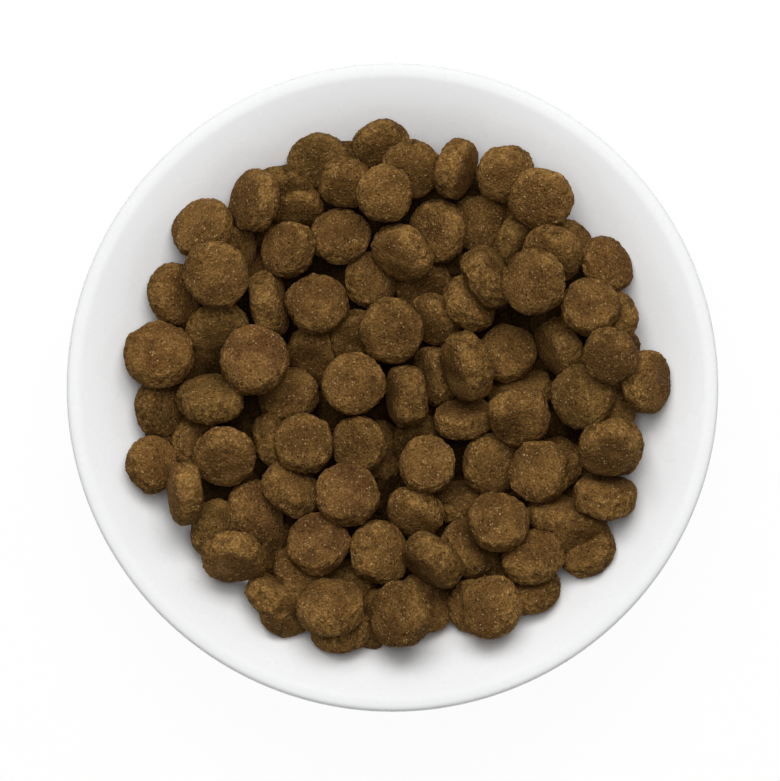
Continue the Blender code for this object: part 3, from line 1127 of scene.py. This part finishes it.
class PETBOWL_OT_bed_kibbles(bpy.types.Operator):
    """Model the partly hidden kibbles where the solid bed has them"""

    bl_idname = "petbowl.bed_kibbles"
    bl_label = "Bake the kibbles of the bed"

    def execute(self, context):
        settings = context.scene.petbowl_kibble
        heap = context.scene.petbowl_heap
        top = BedTop()
        halves = {"bed_kibbles_back": new_kibble_mesh(), "bed_kibbles_front": new_kibble_mesh()}
        for number, seen in enumerate(BED_PLAN):
            place = find_in_bed(settings, top, seen)
            dice = random.Random(SEED + 100 + number)
            name = "bed_kibbles_back" if place.middle.y > 0 else "bed_kibbles_front"
            # Its painted light and shade, and a share of the deepest kibbles' painted shade by its
            # depth
            pale = seen.pale - painted_depth_shade(heap, place) * BED_PAINTED_SHADE
            add_kibble(halves[name], settings, place, seen.bake, dice, settings.fineness, 1.0, pale)
        for name, bm in halves.items():
            piece = finish_piece(name, bm, crumb_materials())
            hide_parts("kibble_bed")
        return {"FINISHED"}


class PETBOWL_OT_deep_kibbles(bpy.types.Operator):
    """Model the kibbles that show dimly in the gaps, and the layer under them"""

    bl_idname = "petbowl.deep_kibbles"
    bl_label = "Bake the deep kibbles"

    def execute(self, context):
        settings = context.scene.petbowl_kibble
        heap = context.scene.petbowl_heap
        dice = random.Random(SEED + 200)
        top = BedTop()
        radii, heights = inside_curve(context.scene.petbowl_bowl)
        bm = new_kibble_mesh()
        for seen in DEEP_PLAN:
            x, y = place_in_plan(seen)
            half = half_sizes(settings, seen)
            low = np.percentile(top.at(x + top.step * np.arange(-5, 6), y), 20)
            middle = Vector((x, y, low - heap.sunk / 2))
            way = dice.choice((1, -1))
            places = [Place(middle, leaning(settings, seen, turn), half) for turn in (way, -way)]
            lifts = [lift_off_wall(place, radii, heights) - heap.give for place in places]
            lift, place = min(zip(lifts, places), key=lambda pair: max(0, pair[0]))
            middle.z += max(0, lift)
            # Painted shade by how deep it lies
            pale = -painted_depth_shade(heap, place)
            add_kibble(bm, settings, place, seen.bake, dice, settings.deep_fineness, 1.0, pale)
        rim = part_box("bowl")[1].z - heap.fill_drop
        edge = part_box("kibble_bed")[1].x
        slopes = np.arctan(np.gradient(heights, radii))
        golden_turn = math.pi * (3 - math.sqrt(5))
        half = np.array([settings.diameter, settings.diameter, settings.thickness]) / 2
        for number in range(heap.count):
            radius = heap.reach * math.sqrt((number + 0.5) / heap.count)
            around = Matrix.Rotation(number * golden_turn, 3, "Z")
            spot = around @ Vector((radius, 0, 0))
            spot.z = rim - heap.dip * (1 - (radius / edge) ** 2) - heap.sunk
            seen = Seen(0, 0, 60, dice.uniform(44, 60), dice.uniform(0, 360))
            turn = leaning(settings, seen, 1)
            wall = float(np.interp(radius, radii, heights))
            slope = float(np.interp(radius, radii, slopes))
            if spot.z < wall + half[0] * math.sin(slope) + half[2]:
                turn = around @ Matrix.Rotation(-slope, 3, "Y")
                spot.z = max(spot.z, wall + half[2] / math.cos(slope))
            place = Place(spot, turn, half)
            # Painted shade by how deep it lies
            pale = -painted_depth_shade(heap, place)
            add_kibble(bm, settings, place, "usual", dice, settings.deep_fineness, 1.0, pale)
        piece = finish_piece("deep_kibbles", bm, crumb_materials())
        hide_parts("kibble_bed")
        return {"FINISHED"}


class PETBOWL_OT_stage(bpy.types.Operator):
    """Set up the floor, the light and the camera"""

    bl_idname = "petbowl.stage"
    bl_label = "Set the stage"

    def execute(self, context):
        settings = context.scene.petbowl_stage
        scene = context.scene
        scene.view_settings.view_transform = "Standard"
        scene.world = make_world(settings.sky, settings.sheen)
        bm = bmesh.new()
        bmesh.ops.create_grid(bm, x_segments=1, y_segments=1, size=settings.floor_width / 2)
        mesh = bpy.data.meshes.new("floor")
        bm.to_mesh(mesh)
        bm.free()
        mesh.materials.append(make_floor_material(settings))
        floor = bpy.data.objects.new("floor", mesh)
        scene.collection.objects.link(floor)
        self.hang_lamp("top lamp", settings.top_lamp, settings.top_size, settings.top_place)
        self.hang_lamp("back lamp", settings.back_lamp, settings.back_size, settings.back_place)
        self.place_camera(scene, settings)
        return {"FINISHED"}

    def hang_lamp(self, name, power, size, place):
        """Hangs a rectangular soft lamp that shines on the bowl, and leaves no glint in its glaze."""
        lamp = bpy.data.lights.new(name, "AREA")
        lamp.energy = power
        lamp.shape = "RECTANGLE"
        lamp.size, lamp.size_y = size
        hung = bpy.data.objects.new(name, lamp)
        hung.location = place
        hung.rotation_euler = (-Vector(place)).to_track_quat("-Z", "Y").to_euler()
        hung.visible_glossy = False
        bpy.context.scene.collection.objects.link(hung)

    def place_camera(self, scene, settings):
        """Looks down on the bowl so that its rim lies where the photograph has it."""
        camera = bpy.data.cameras.new("camera")
        camera.lens = settings.lens
        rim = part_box("bowl")[1]
        lip = bpy.context.scene.petbowl_bowl.wall / 2
        pixels = settings.lens / camera.sensor_width * max(PICTURE_WIDTH, PICTURE_HEIGHT)
        distance = pixels * rim.x / RIM_REACH
        back = Vector((0, -math.cos(settings.elevation), math.sin(settings.elevation)))
        up = Vector((0, math.sin(settings.elevation), math.cos(settings.elevation)))
        aside = (PICTURE_WIDTH / 2 - RIM_X) * picture_scale()
        raised = (RIM_Y - PICTURE_HEIGHT / 2) * picture_scale()
        target = Vector((aside, 0, rim.z - lip)) + up * raised
        held = bpy.data.objects.new("camera", camera)
        held.location = target + back * distance
        held.rotation_euler = (-back).to_track_quat("-Z", "Y").to_euler()
        camera.clip_end = distance * 4
        scene.collection.objects.link(held)
        scene.camera = held


OPERATORS = (
    PETBOWL_OT_finishes,
    PETBOWL_OT_bowl,
    PETBOWL_OT_loose_kibbles,
    PETBOWL_OT_bed_kibbles,
    PETBOWL_OT_deep_kibbles,
    PETBOWL_OT_stage,
)


class PETBOWL_PT_panel(bpy.types.Panel):
    """Lists the steps that make the bowl of pet food"""

    bl_label = "Pet food"
    bl_idname = "PETBOWL_PT_panel"
    bl_space_type = "VIEW_3D"
    bl_region_type = "UI"
    bl_category = "Pet food"

    def draw(self, context):
        for operator in OPERATORS:
            self.layout.operator(operator.bl_idname)


SETTINGS = {
    "petbowl_bowl": BowlSettings,
    "petbowl_kibble": KibbleSettings,
    "petbowl_heap": HeapSettings,
    "petbowl_stage": StageSettings,
}


def register():
    for kind in (*SETTINGS.values(), *OPERATORS, PETBOWL_PT_panel):
        bpy.utils.register_class(kind)
    for name, kind in SETTINGS.items():
        setattr(bpy.types.Scene, name, PointerProperty(type=kind))


def unregister():
    for name in SETTINGS:
        delattr(bpy.types.Scene, name)
    for kind in reversed((*SETTINGS.values(), *OPERATORS, PETBOWL_PT_panel)):
        bpy.utils.unregister_class(kind)


def main():
    register()
    bpy.ops.petbowl.finishes()
    bpy.ops.petbowl.bowl()
    bpy.ops.petbowl.loose_kibbles()
    bpy.ops.petbowl.bed_kibbles()
    bpy.ops.petbowl.deep_kibbles()
    bpy.ops.petbowl.stage()


if __name__ == "__main__":
    main()
